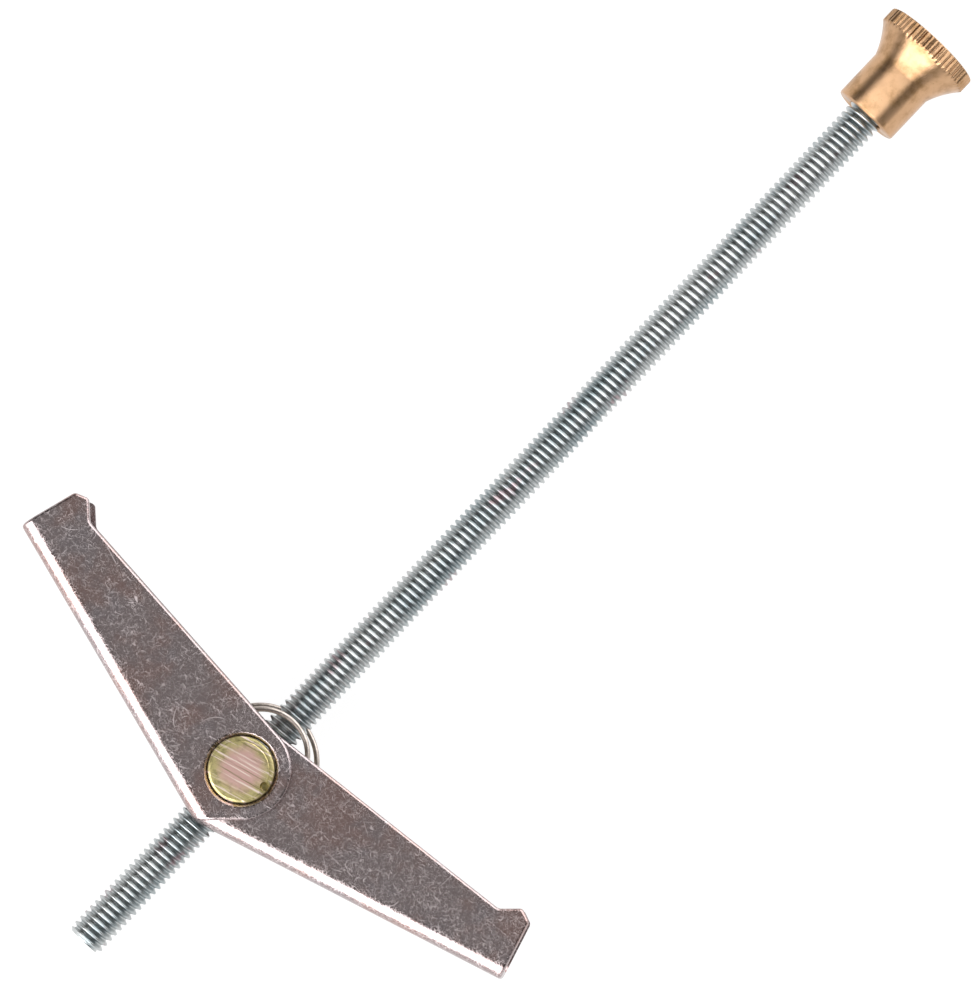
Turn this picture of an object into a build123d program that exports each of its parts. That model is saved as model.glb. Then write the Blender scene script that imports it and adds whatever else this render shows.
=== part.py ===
from build123d import *
import math
import os

# Spring toggle bolt lying on its side: threaded rod, knurled nut, cross pin, two folding wings
# and the spring that opens them. Millimetres, +Z up.
# The rod lies along Y with the nut at +Y. The cross pin stands upright, so the wings lie flat.
# Everything is drawn about the middle of the cross pin and moved to its resting place at the end.

# ---- threaded rod ----
rod_diameter = 3.9          # over the crests of a 4 mm x 0.7 mm thread
rod_chamfer = 0.35          # bevel on both ends of the rod
rod_tail = 23.0             # cross pin's axis to the rod's free end
rod_to_nut = 89.8           # cross pin's axis to the nut's bearing face
thread_clearance = 0.06     # radial gap between the rod's crests and the plain holes round it

# ---- knurled nut ----
nut_neck_diameter = 6.9
nut_neck_length = 5.2
nut_flare_length = 3.1
nut_flare_bow = (0.45, 0.34)    # a point on the hollow flare, as shares of its length and its rise
nut_rim_diameter = 10.6     # over the crests of the knurl
nut_rim_length = 1.5
nut_edge = 0.2              # bevel on the outer edges of the neck and the rim
nut_countersink = 0.3
rod_recess = 0.6            # how far the rod's end stays inside the nut's outer face
knurl_count = 56
knurl_depth = 0.14

# ---- cross pin ----
pin_diameter = 6.6
pin_stand = 0.6             # how far each end stands proud of the outer cheek
pin_edge = 0.35             # rounding of the pin's ends
stake_radius = 0.5          # half-round punch mark on the edge of each end
stake_depth = 0.45
stake_angle = 11.0          # where the mark lies, from +X

# ---- wings ----
sheet = 0.9
wing_length = 32.0          # cross pin's axis to the wing's tip
web_distance = 6.6          # cross pin's axis to the outer face of the web
bend_radius = 1.7           # outside of the bend between web and cheek
head_radius = 4.95          # rounded end of the cheek, round the cross pin
open_angle = 73.9           # each open wing from the rod's +Y
taper_angle = 11.0          # open edge of the cheek from the web
ear_length = 3.3            # along the wing, root to tip
ear_rise = 1.5              # ear's crest above the open edge
ear_slope = 2.1             # along the wing, root to crest
ear_drop = 0.9              # crest down to the tip
ear_round = 0.45
hole_clearance = 0.08       # radial, cheek on cross pin
nest_clearance = 0.06       # between the two wings' cheeks
stop_clearance = 0.03       # each web's end from the middle plane when the wings are open
slot_clearance = 0.35       # each side of the rod in the webs' slots

# ---- spring ----
wire_diameter = 0.55
wire_clearance = 0.17       # wire off the rod, and off the inner cheeks
near_loop = (0.29, 2.36, 4.58)     # upper loop: centre x, centre y, radius of the wire's middle
far_loop = (0.30, 1.70, 5.70)      # lower loop
foot_clearance = 0.03       # wire off the web it presses on
foot_length = 5.0           # along the web, from the bend to the foot's end
foot_bend = 0.9             # radius of the wire's bends


# ---- worked out from the above ----
# Distances off the rod's axis, outwards: wire, inside of the inner cheek, outer faces of the
# inner and the outer cheek, end of the cross pin.
rod_radius = rod_diameter / 2
wire_radius = wire_diameter / 2
wire_level = rod_radius + wire_clearance + wire_radius
cheek_inside = wire_level + wire_radius + wire_clearance
inner_face = cheek_inside + sheet
outer_face = inner_face + nest_clearance + sheet
half_pin = outer_face + pin_stand
pin_radius = pin_diameter / 2
nut_length = nut_neck_length + nut_flare_length + nut_rim_length
rod_end = rod_to_nut + nut_length - rod_recess
web_inner = web_distance - sheet
bend_inner = bend_radius - sheet
bend_start = web_distance - bend_radius     # cross pin's axis to where the bend begins
slot_half = rod_radius + slot_clearance
slot_round = slot_half / 3                  # corners of the slots' ends
far = 2 * (rod_tail + rod_end)              # reach of the cutting blocks
near = 0.01                                 # how close an edge or corner lies to where it is looked for


def block(x0, x1, y0, y1, z0, z1):
    """Box between two corners."""
    size = Box(x1 - x0, y1 - y0, z1 - z0)
    return Pos((x0 + x1) / 2, (y0 + y1) / 2, (z0 + z1) / 2) * size


def round_bar(radius, y0, y1):
    """Plain bar along Y."""
    bar = Cylinder(radius, y1 - y0)
    return Pos(0, (y0 + y1) / 2, 0) * Rot(90, 0, 0) * bar


def threaded_rod():
    bar = round_bar(rod_radius, -rod_tail, rod_end)
    return chamfer(bar.edges().filter_by(GeomType.CIRCLE), rod_chamfer)


def knurled_rim(y0, y1):
    """Rim with straight ridges, one crest pointing straight down."""
    corners = []
    for k in range(2 * knurl_count):
        radius = nut_rim_diameter / 2 - knurl_depth * (k % 2)
        angle = math.pi * k / knurl_count
        corners.append((radius * math.cos(angle), radius * math.sin(angle)))
    outline = make_face(Polyline(*corners, close=True))
    return Rot(-90, 0, 0) * Pos(0, 0, y0) * extrude(outline, y1 - y0)


def knurled_nut():
    """Turned in one piece: plain neck, hollow flare and knurled rim, bored right through."""
    neck = nut_neck_diameter / 2
    rim = nut_rim_diameter / 2
    y_flare = rod_to_nut + nut_neck_length
    y_rim = y_flare + nut_flare_length
    y_top = y_rim + nut_rim_length
    y_bow = y_flare + nut_flare_bow[0] * nut_flare_length
    bow = neck + nut_flare_bow[1] * (rim - neck)
    with BuildPart() as turned:
        with BuildSketch(Plane.XY):
            with BuildLine():
                Polyline((0, y_top), (0, rod_to_nut), (neck - nut_edge, rod_to_nut),
                         (neck, rod_to_nut + nut_edge), (neck, y_flare))
                ThreePointArc((neck, y_flare), (bow, y_bow), (rim, y_rim))
                Polyline((rim, y_rim), (rim, y_top - nut_edge), (rim - nut_edge, y_top), (0, y_top))
            make_face()
        revolve(axis=Axis.Y)
    body = turned.part & (block(-far, far, -far, y_rim, -far, far) + knurled_rim(y_rim, y_top))
    bore_radius = rod_radius + thread_clearance
    body -= round_bar(bore_radius, -far, far)
    for face_y, turn in ((rod_to_nut, 90), (y_top, -90)):
        cone = Cone(bore_radius + nut_countersink, bore_radius, nut_countersink,
                    align=(Align.CENTER, Align.CENTER, Align.MIN))
        body -= Pos(0, face_y, 0) * Rot(-turn, 0, 0) * cone
    return body


def cross_pin():
    """Barrel with a threaded cross hole for the rod and a punch mark on each end."""
    barrel = Cylinder(pin_radius, 2 * half_pin)
    barrel = fillet(barrel.edges().filter_by(GeomType.CIRCLE), pin_edge)
    barrel -= round_bar(rod_radius + thread_clearance, -pin_diameter, pin_diameter)
    for side in (-1, 1):
        mark = Cylinder(stake_radius, 2 * stake_depth)
        barrel -= Rot(0, 0, side * stake_angle) * Pos(side * pin_radius, 0, side * half_pin) * mark
    return barrel


def wing_outline():
    """Cheek's outline with the pin's axis at the origin, the tip at +X and the web at +Y."""
    taper = math.radians(taper_angle)
    lean = math.radians(open_angle)
    edge_start = (head_radius * math.sin(taper), -head_radius * math.cos(taper))
    root_x = wing_length - ear_length
    root = (root_x, edge_start[1] + (root_x - edge_start[0]) * math.tan(taper))
    crest = (root_x + ear_slope, root[1] + ear_slope * math.tan(taper) - ear_rise)
    shoulder = (wing_length, crest[1] + ear_drop)
    corner = (-web_distance / math.tan(lean), web_distance)
    reach = math.hypot(*corner)
    turn = math.acos(head_radius / reach)
    toward = math.atan2(corner[1], corner[0]) + turn
    heel = (head_radius * math.cos(toward), head_radius * math.sin(toward))
    middle = math.radians(270) + (taper - (math.radians(270) - toward)) / 2
    back = (head_radius * math.cos(middle), head_radius * math.sin(middle))
    with BuildSketch() as sketch:
        with BuildLine():
            Polyline(edge_start, root, crest, shoulder, (wing_length, web_distance), corner, heel)
            ThreePointArc(heel, back, edge_start)
        make_face()
        ear = [v for v in sketch.vertices() if v.X > root_x - near and v.Y < shoulder[1] + near]
        fillet(ear, ear_round)
    return sketch.sketch


def left_wing():
    """Folded from one sheet. Its outer cheek is on top; both cheeks straddle the rod."""
    z0 = -inner_face
    width = outer_face + inner_face
    shell = Pos(0, 0, z0) * extrude(wing_outline(), width)
    folds = [e for e in shell.edges().filter_by(Axis.X) if abs(e.center().Y - web_distance) < near]
    shell = fillet(folds, bend_radius)
    hollow = block(-far, far, -far, web_inner, z0 + sheet, z0 + width - sheet)
    corners = [e for e in hollow.edges().filter_by(Axis.X) if e.center().Y > 0]
    shell -= fillet(corners, bend_inner)
    shell -= Cylinder(pin_radius + hole_clearance, far)

    lean = math.radians(open_angle)
    slot_end = (slot_half - web_inner * math.cos(lean)) / math.sin(lean)
    slot = block(-far, slot_end, 0, far, -slot_half, slot_half)
    ends = [e for e in slot.edges().filter_by(Axis.Y) if abs(e.center().X - slot_end) < near]
    shell -= fillet(ends, slot_round)

    # Past the middle plane, the inner cheek keeps inside the other wing's web and bend.
    wing = Rot(0, 0, 90 + open_angle) * shell
    beyond = block(-stop_clearance, far, -far, far, -far, inner_face + nest_clearance / 2)
    room = bend_start + math.sqrt(bend_inner**2 - (bend_inner - nest_clearance) ** 2) - nest_clearance
    other_web = Rot(0, 0, 90 - open_angle) * block(-far, far, -far, -room, -far, far)
    return wing - (beyond & other_web)


def foot_points(loop, side):
    """Wire's corner above the web below one side of a loop, and the end of its foot."""
    lean = math.radians(open_angle)
    along = (side * math.sin(lean), math.cos(lean))
    inward = (-side * math.cos(lean), math.sin(lean))
    corner_room = bend_inner - wire_radius - foot_clearance
    corner_step = max(wire_level - (cheek_inside - bend_inner), 0)
    depth = bend_start + math.sqrt(corner_room**2 - corner_step**2)
    x = loop[0] + side * loop[2]
    y = (-depth - x * inward[0]) / inward[1]
    return (x, y), (x + along[0] * foot_length, y + along[1] * foot_length)


def spring():
    """One wire: a loop over the pin on each side of the rod, joined across the right wing's web."""
    def at(point, level):
        return Vector(point[0], point[1], level)

    up, down = wire_level, -wire_level
    near_left, near_left_end = foot_points(near_loop, -1)
    far_left, far_left_end = foot_points(far_loop, -1)
    near_right, near_right_end = foot_points(near_loop, 1)
    far_right, _ = foot_points(far_loop, 1)
    near_springing = [(near_loop[0] + s * near_loop[2], near_loop[1]) for s in (-1, 1)]
    far_springing = [(far_loop[0] + s * far_loop[2], far_loop[1]) for s in (-1, 1)]
    near_top = (near_loop[0], near_loop[1] + near_loop[2])
    far_top = (far_loop[0], far_loop[1] + far_loop[2])
    with BuildPart() as wire:
        with BuildLine() as path:
            FilletPolyline(at(near_left_end, up), at(near_left, up), at(near_springing[0], up),
                           radius=foot_bend)
            ThreePointArc(at(near_springing[0], up), at(near_top, up), at(near_springing[1], up))
            FilletPolyline(at(near_springing[1], up), at(near_right, up), at(near_right_end, up),
                           at(near_right_end, down), at(far_right, down),
                           at(far_springing[1], down), radius=foot_bend)
            ThreePointArc(at(far_springing[1], down), at(far_top, down), at(far_springing[0], down))
            FilletPolyline(at(far_springing[0], down), at(far_left, down), at(far_left_end, down),
                           radius=foot_bend)
        with BuildSketch(Plane(origin=path.line @ 0, z_dir=path.line % 0)):
            Circle(wire_radius)
        sweep(transition=Transition.ROUND)
    return wire.part


def main():
    left = left_wing()
    pieces = {
        "threaded_rod": threaded_rod(),
        "knurled_nut": knurled_nut(),
        "cross_pin": cross_pin(),
        "wing_left": left,
        "wing_right": Rot(0, 180, 0) * left,
        "spring": spring(),
    }
    rest = Pos(0, (rod_tail - rod_to_nut - nut_length) / 2, max(half_pin, nut_rim_diameter / 2))
    os.makedirs("parts", exist_ok=True)
    for name, piece in pieces.items():
        export_step(rest * piece, f"parts/{name}.step")


main()
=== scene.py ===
"""Spring toggle bolt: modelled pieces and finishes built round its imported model.

Shapes are drawn in millimetres about the middle of the cross pin, with the rod along Y and the
cross pin upright, and are placed in the frame in metres at the end.
"""

import math
import random

import bmesh
import bpy
from bpy.props import FloatProperty, FloatVectorProperty, IntProperty, PointerProperty
from mathutils import Matrix, Vector


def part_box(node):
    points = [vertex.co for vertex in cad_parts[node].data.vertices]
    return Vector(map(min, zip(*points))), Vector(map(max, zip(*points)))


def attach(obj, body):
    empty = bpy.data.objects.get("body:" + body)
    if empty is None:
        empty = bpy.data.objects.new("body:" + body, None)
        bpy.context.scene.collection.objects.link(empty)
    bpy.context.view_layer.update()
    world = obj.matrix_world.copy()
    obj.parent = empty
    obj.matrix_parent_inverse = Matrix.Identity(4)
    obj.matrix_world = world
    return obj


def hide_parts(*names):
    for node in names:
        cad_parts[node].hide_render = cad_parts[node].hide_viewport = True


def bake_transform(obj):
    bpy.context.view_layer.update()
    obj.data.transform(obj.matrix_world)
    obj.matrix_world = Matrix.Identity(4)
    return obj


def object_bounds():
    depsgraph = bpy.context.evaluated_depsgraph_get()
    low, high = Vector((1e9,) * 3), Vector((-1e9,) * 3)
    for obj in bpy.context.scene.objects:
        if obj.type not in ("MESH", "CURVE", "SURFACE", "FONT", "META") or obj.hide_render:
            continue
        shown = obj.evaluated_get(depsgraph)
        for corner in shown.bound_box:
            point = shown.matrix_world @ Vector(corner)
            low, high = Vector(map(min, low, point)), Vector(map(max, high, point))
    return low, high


bl_info = {
    "name": "Spring Toggle Bolt",
    "version": (1, 0, 0),
    "blender": (4, 5, 0),
    "location": "3D View > Sidebar > Toggle Bolt",
    "description": "Builds a spring toggle bolt and its finishes round its packed model",
    "category": "Add Mesh",
}

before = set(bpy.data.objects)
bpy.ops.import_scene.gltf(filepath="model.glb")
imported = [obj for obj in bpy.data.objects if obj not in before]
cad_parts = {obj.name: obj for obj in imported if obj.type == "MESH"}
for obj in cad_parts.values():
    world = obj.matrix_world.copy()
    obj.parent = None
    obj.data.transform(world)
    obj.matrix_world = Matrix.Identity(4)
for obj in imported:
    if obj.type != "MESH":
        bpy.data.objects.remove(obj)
cad_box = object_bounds()

MM = 0.001                  # millimetres to metres
TINY = 0.0005               # mm: vertices this close are one
FAR = 300.0                 # mm: reach of the cutting shapes
FULL_TURN = 2 * math.pi
RANDOM_SEED = 11

# ---- how finely curves are drawn, in straight steps ----

ROUND_STEPS = 96            # once round the pin and its hole
MARK_STEPS = 32             # once round a punch mark
EDGE_STEPS = 6              # a quarter turn on the pin's edge, or on a hole's mouth
FLARE_STEPS = 14            # along the nut's flare
HEEL_STEPS = 28             # round a cheek's head
LOOP_STEPS = 20             # a quarter turn of a spring loop

# ---- curves that repeat ----

# Up from a thread's root: (share of the root's width, share of the crest's drop)
ROOT_CURVE = ((0.0, 0.0), (0.3, 0.15), (0.5, 0.5))
# Up to a thread's crest: (share of the crest's width, share of its drop)
CREST_CURVE = ((0.5, 1.0), (0.3, 0.28), (0.1, 0.0))
RIDGE_PROFILE = (0.0, 0.15, 0.7, 1.0, 0.7, 0.15)    # share of a ridge's depth, crest to crest
RIDGE_STRENGTHS = (0.7, 1.15)                       # least and greatest share, ridge by ridge

# ---- the metals: least and greatest roughness, and the marks on them ----

ROD_ROUGHNESS = (0.27, 0.39)
BRASS_ROUGHNESS = (0.36, 0.43)
PIN_ROUGHNESS = (0.30, 0.46)
WING_ROUGHNESS = (0.22, 0.58)
WIRE_ROUGHNESS = (0.28, 0.42)
SAW_ANGLE = math.radians(-14)       # of the lines across the pin's ends
SCRATCH_WIDTH = 0.05                # mm: half of a short scratch on the wings
HAIRLINE_STRENGTH = 0.75            # of the long hairlines, where a scratch has 1
SPECK_STRENGTH = 0.40               # ... and of the specks

# ---- light ----

BACKDROP_LEVEL = 1.0        # how bright the surround is near the floor
SKY_LEVEL = 0.05            # ... above that
CEILING_LEVEL = 0.40        # ... and straight overhead
# (sine of the angle above the floor, level there)
SURROUND = ((0.06, BACKDROP_LEVEL), (0.22, SKY_LEVEL), (0.88, SKY_LEVEL), (0.985, CEILING_LEVEL))
FLOOR_GLOW = 1.08           # a white floor, as it is seen
FLOOR_GLOW_SHARE = 0.88     # the rest of what is seen is its lit surface, which keeps the shadow
FLOOR_REACH = 3.0           # metres from the middle to the floor's edges
# Azimuth and elevation in degrees; distance, width and height in metres; radiance
LAMPS = {
    "front_softbox": (-4, 27, 1.6, 2.0, 1.4, 7.0),
    "back_softbox": (180, 30, 1.6, 2.0, 1.5, 3.4),
    "side_card": (90, 20, 1.6, 1.6, 1.0, 0.35),
}

pin_low, pin_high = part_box("cross_pin")
PIN_MIDDLE = (pin_low + pin_high) / 2
PLACE = Matrix.Translation(PIN_MIDDLE) @ Matrix.Scale(MM, 4)


def drawn_box(node):
    """A CAD node's corners in millimetres about the pin's middle."""
    low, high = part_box(node)
    return (low - PIN_MIDDLE) / MM, (high - PIN_MIDDLE) / MM


def drawn_radius(node):
    """Half of a CAD node's width in millimetres."""
    low, high = drawn_box(node)
    return (high.x - low.x) / 2


# ---- sizes and colours that a user would change ----

def length(name, millimetres, description):
    return FloatProperty(name=name, description=description, default=millimetres * MM, min=0.0,
                         precision=5, unit="LENGTH", subtype="DISTANCE")


def angle(name, degrees, description):
    return FloatProperty(name=name, description=description, default=math.radians(degrees),
                         unit="ROTATION", subtype="ANGLE")


def colour(name, value, description):
    return FloatVectorProperty(name=name, description=description, default=value, size=3,
                               min=0.0, max=1.0, subtype="COLOR")


def place(name, millimetres, description):
    return FloatVectorProperty(name=name, description=description, size=3, precision=5,
                               default=tuple(v * MM for v in millimetres),
                               unit="LENGTH", subtype="TRANSLATION")


def share(name, value, description):
    return FloatProperty(name=name, description=description, default=value, min=0.0, max=1.0,
                         subtype="FACTOR")


class RodSizes(bpy.types.PropertyGroup):
    pitch: length("Pitch", 0.7, "From one crest of the thread to the next")
    depth: length("Depth", 0.42, "From the thread's crest to its root")
    crest: length("Crest", 0.22, "Width of the rounded crest")
    crest_drop: length("Crest Drop", 0.062, "How far the crest's edges fall away")
    root: length("Root", 0.16, "Width of the flat at the thread's root")
    end_bevel: length("End Bevel", 0.35, "Bevel on the rod's ends")
    steps: IntProperty(name="Steps", description="Faces in one turn of the thread", default=40)


class NutSizes(bpy.types.PropertyGroup):
    neck: length("Neck", 6.9, "Diameter of the plain neck")
    neck_length: length("Neck Length", 5.2, "From the bearing face to the flare")
    flare_length: length("Flare Length", 3.1, "From the neck to the rim")
    bow_along: share("Bow Along", 0.45, "Where the flare's hollow is set, along its length")
    bow_out: share("Bow Out", 0.34, "How far out the flare is there, as a share of its rise")
    edge: length("Edge", 0.2, "Bevel on the neck's and the rim's outer edges")
    countersink: length("Countersink", 0.12, "Bevel at both mouths of the bore")
    bore_gap: length("Bore Gap", 0.06, "Radial gap between the rod and the bore")
    ridges: IntProperty(name="Ridges", description="Straight ridges round the rim", default=56)
    ridge_depth: length("Ridge Depth", 0.15, "From a ridge's crest to its root")


class PinSizes(bpy.types.PropertyGroup):
    edge: length("Edge", 0.12, "Rounding of the pin's ends")
    step: length("Step", 0.34, "How much narrower each end is than the barrel")
    step_depth: length("Step Depth", 0.22, "Height of the narrower end")
    step_play: length("Step Play", 0.2, "How far the ends stand off the barrel's middle")
    crown: length("Crown", 0.05, "How far the middle of each end stands above its edge")
    rod_gap: length("Rod Gap", 0.06, "Radial gap between the rod and the pin's cross hole")
    stake_radius: length("Stake Radius", 0.44, "Punch mark on the edge of each end")
    stake_depth: length("Stake Depth", 1.0, "Depth of the punch mark")
    stake_angle: angle("Stake Angle", 11.0, "Where the punch mark lies")


class WingSizes(bpy.types.PropertyGroup):
    sheet: length("Sheet", 0.9, "Thickness of the sheet")
    reach: length("Reach", 32.0, "From the cross pin's axis to the tip")
    web: length("Web", 6.6, "From the cross pin's axis to the outer face of the web")
    bend: length("Bend", 1.7, "Outer radius of the bends")
    head: length("Head", 4.95, "Radius of the cheeks' rounded end")
    open_angle: angle("Open Angle", 73.9, "Each open wing from the rod")
    taper: angle("Taper", 11.0, "Open edge of the cheek from the web")
    ear_length: length("Ear Length", 3.3, "Ear at the tip, along the wing")
    ear_slope: length("Ear Slope", 2.1, "From the ear's root to its crest, along the wing")
    ear_rise: length("Ear Rise", 1.5, "Ear's crest above the open edge")
    ear_drop: length("Ear Drop", 0.9, "From the ear's crest down to the tip")
    ear_round: length("Ear Round", 0.45, "Rounding of the ear's corners")
    hole_gap: length("Hole Gap", 0.08, "Radial gap between the pin and the cheek")
    nest_gap: length("Nest Gap", 0.06, "Between the two wings' cheeks")
    stop_gap: length("Stop Gap", 0.03, "Each web's end from the middle plane")
    slot_gap: length("Slot Gap", 0.35, "Each side of the rod in the webs' slots")
    edge: length("Edge", 0.33, "Rounding of the sheared edges")
    burr: length("Burr", 0.12, "Rounding of all the other edges")
    lip: length("Lip", 0.5, "Rounding of the pin hole's mouths")


class SpringSizes(bpy.types.PropertyGroup):
    wire: length("Wire", 0.55, "Diameter of the wire")
    gap: length("Gap", 0.17, "Wire from the rod, and from the inner cheeks")
    near_middle: place("Near Loop Middle", (0.29, 2.36, 0.0), "Middle of the upper loop")
    near_radius: length("Near Loop Radius", 4.58, "Radius of the upper loop")
    far_middle: place("Far Loop Middle", (0.30, 1.70, 0.0), "Middle of the lower loop")
    far_radius: length("Far Loop Radius", 5.70, "Radius of the lower loop")
    foot_gap: length("Foot Gap", 0.03, "Wire from the web that it presses on")
    foot_length: length("Foot Length", 5.0, "Along the web, from the bend to the foot's end")
    foot_bend: length("Foot Bend", 0.9, "Radius of the wire's bends")


class Finishes(bpy.types.PropertyGroup):
    rod: colour("Rod", (0.53, 0.55, 0.55), "Bright zinc of the rod")
    rod_tint: colour("Rod Tint", (0.34, 0.39, 0.405), "Blue-green film on the rod's zinc")
    rod_blush: colour("Rod Blush", (0.40, 0.33, 0.345), "Pink film on the rod's zinc")
    brass: colour("Brass", (0.66, 0.41, 0.235), "Turned brass of the nut")
    brass_dark: colour("Dark Brass", (0.40, 0.225, 0.10), "Darkened brass of the nut")
    pin: colour("Pin", (0.61, 0.53, 0.24), "Yellow zinc of the cross pin")
    pin_blush: colour("Pin Blush", (0.78, 0.50, 0.445), "Pink middle of the pin's ends")
    pin_score: colour("Pin Score", (0.92, 0.76, 0.66), "Light lines across the pin's ends")
    pin_groove: colour("Pin Groove", (0.30, 0.25, 0.10), "Dark lines across the pin's ends")
    wing: colour("Wing", (0.350, 0.285, 0.283), "Dull zinc of the wings")
    wing_brown: colour("Wing Brown", (0.375, 0.255, 0.235), "Brown patches on the wings")
    wing_grey: colour("Wing Grey", (0.340, 0.290, 0.298), "Grey patches on the wings")
    # The wings' scratches and specks are real marks; their light colour is painted glint
    wing_scratch_glint: colour("Wing Scratch", (0.86, 0.78, 0.79), "Scratches and specks on the wings")
    wire: colour("Wire", (0.60, 0.53, 0.48), "Spring wire")


class StageSettings(bpy.types.PropertyGroup):
    camera: place("Camera", (52.2, 5.0, 679.0), "Camera from the cross pin's middle")
    target: place("Target", (-1.47, 36.98, 0.0), "Middle of the view from the cross pin's middle")
    rod_slope: angle("Rod Slope", 46.57, "How steeply the rod rises across the view")
    lens: FloatProperty(name="Lens", description="Focal length in millimetres", default=252.47)
    floor: colour("Floor", (0.9, 0.9, 0.9), "Pale floor")


class ToggleBoltSettings(bpy.types.PropertyGroup):
    rod: PointerProperty(type=RodSizes, name="Rod", description="Sizes of the threaded rod")
    nut: PointerProperty(type=NutSizes, name="Nut", description="Sizes of the knurled nut")
    pin: PointerProperty(type=PinSizes, name="Pin", description="Sizes of the cross pin")
    wing: PointerProperty(type=WingSizes, name="Wing", description="Sizes of the wings")
    spring: PointerProperty(type=SpringSizes, name="Spring", description="Sizes of the spring")
    finishes: PointerProperty(type=Finishes, name="Finishes", description="Colours")
    stage: PointerProperty(type=StageSettings, name="Stage", description="Camera and floor")


def settings():
    return bpy.context.scene.toggle_bolt


def in_mm(group, *names):
    """Lengths of a property group in millimetres."""
    return [getattr(group, name) / MM for name in names]


# ---- mesh helpers ----

def everything(bm):
    return bm.verts[:] + bm.edges[:] + bm.faces[:]


def block(x0, x1, y0, y1, z0, z1):
    """Box between two corners."""
    bm = bmesh.new()
    middle = Vector(((x0 + x1) / 2, (y0 + y1) / 2, (z0 + z1) / 2))
    size = Matrix.Diagonal((x1 - x0, y1 - y0, z1 - z0, 1.0))
    bmesh.ops.create_cube(bm, size=1.0, matrix=Matrix.Translation(middle) @ size)
    return bm


def round_bar(radius, low, high, turn, segments=ROUND_STEPS):
    """Cylinder from low to high along Z, then turned."""
    bm = bmesh.new()
    matrix = turn @ Matrix.Translation((0, 0, (low + high) / 2))
    bmesh.ops.create_cone(bm, cap_ends=True, segments=segments, radius1=radius, radius2=radius,
                          depth=high - low, matrix=matrix)
    return bm


def chain(bm, points):
    """Vertices joined one to the next."""
    verts = [bm.verts.new(p) for p in points]
    for a, b in zip(verts, verts[1:]):
        bm.edges.new((a, b))
    return verts


def spin_about(bm, geom, axis, turn, steps, rise=0.0, merge=False):
    """Spins geometry about an axis through the pin's middle, with an optional rise per turn."""
    axis = Vector(axis)
    return bmesh.ops.spin(bm, geom=geom, cent=(0, 0, 0), axis=axis, dvec=axis * rise / steps,
                          angle=turn, steps=steps, use_merge=merge)


def turned(outline):
    """A solid spun about Z from its outline, as (radius, z) from the top down."""
    bm = bmesh.new()
    chain(bm, [(r, 0.0, z) for r, z in outline])
    spin_about(bm, everything(bm), (0, 0, 1), FULL_TURN, ROUND_STEPS, merge=True)
    bmesh.ops.remove_doubles(bm, verts=bm.verts, dist=TINY)
    bmesh.ops.recalc_face_normals(bm, faces=bm.faces)
    return bm


def bevel(bm, edges, offset, segments):
    bmesh.ops.bevel(bm, geom=edges, offset=offset, offset_type="OFFSET", segments=segments,
                    profile=0.5, affect="EDGES", clamp_overlap=True, material=-1)


def edges_along(bm, axis, test):
    """Edges parallel to an axis whose middle passes the test."""
    found = []
    for e in bm.edges:
        a, b = (v.co for v in e.verts)
        if abs(abs((b - a).normalized().dot(Vector(axis))) - 1) < TINY and test((a + b) / 2):
            found.append(e)
    return found


def linked(name, data):
    """A new object in the scene."""
    found = bpy.data.objects.new(name, data)
    bpy.context.scene.collection.objects.link(found)
    return found


def in_scene(name, bm):
    """A new object in the scene that holds a bmesh's shape. The bmesh is used up."""
    mesh = bpy.data.meshes.new(name)
    bm.to_mesh(mesh)
    bm.free()
    return linked(name, mesh)


def combined(body, cutters, operation="DIFFERENCE"):
    """The body's bmesh with each cutter's taken away, or kept in common."""
    base = in_scene("shape", body)
    others = [in_scene("cutter", c) for c in cutters]
    for other in others:
        cut = base.modifiers.new("cut", "BOOLEAN")
        cut.operation = operation
        cut.solver = "EXACT"
        cut.object = other
    bpy.context.view_layer.update()
    shape = base.evaluated_get(bpy.context.evaluated_depsgraph_get())
    result = bmesh.new()
    result.from_mesh(shape.to_mesh())
    shape.to_mesh_clear()
    for used in (base, *others):
        mesh = used.data
        bpy.data.objects.remove(used)
        bpy.data.meshes.remove(mesh)
    bmesh.ops.remove_doubles(result, verts=result.verts, dist=TINY)
    if not result.faces:
        raise RuntimeError("nothing is left of a cut shape")
    return result


def round_sharp_edges(bm, offset, segments, limit=32.0):
    """Rounds every edge that turns by more than the limit in degrees."""
    sharp = [e for e in bm.edges
             if len(e.link_faces) == 2 and e.calc_face_angle() > math.radians(limit)]
    bevel(bm, sharp, offset, segments)


def finished_piece(name, bm, material, nodes, even_normals=False, sharp=40.0):
    """Closes a shape's seams, turns its faces out and places it in the frame as one piece."""
    bmesh.ops.remove_doubles(bm, verts=bm.verts, dist=TINY)
    bmesh.ops.recalc_face_normals(bm, faces=bm.faces)
    bmesh.ops.transform(bm, matrix=PLACE, verts=bm.verts)
    for f in bm.faces:
        f.smooth = True
    for e in bm.edges:
        e.smooth = len(e.link_faces) == 2 and e.calc_face_angle() < math.radians(sharp)
    piece = in_scene(name, bm)
    if even_normals:
        even = piece.modifiers.new("even_normals", "WEIGHTED_NORMAL")
        even.keep_sharp = True
    piece.data.materials.append(material)
    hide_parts(*nodes)
    return piece


# ---- threaded rod ----

def thread_profile(crest_radius, sizes):
    """One pitch of the thread's outline, from root to root: (distance along the rod, radius)."""
    pitch, depth, crest, drop, root = in_mm(sizes, "pitch", "depth", "crest", "crest_drop", "root")
    half = [(root * out, crest_radius - depth + drop * up) for out, up in ROOT_CURVE]
    half += [(pitch / 2 - crest * out, crest_radius - drop * down) for out, down in CREST_CURVE]
    return half + [(pitch - along, radius) for along, radius in reversed(half)]


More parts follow.
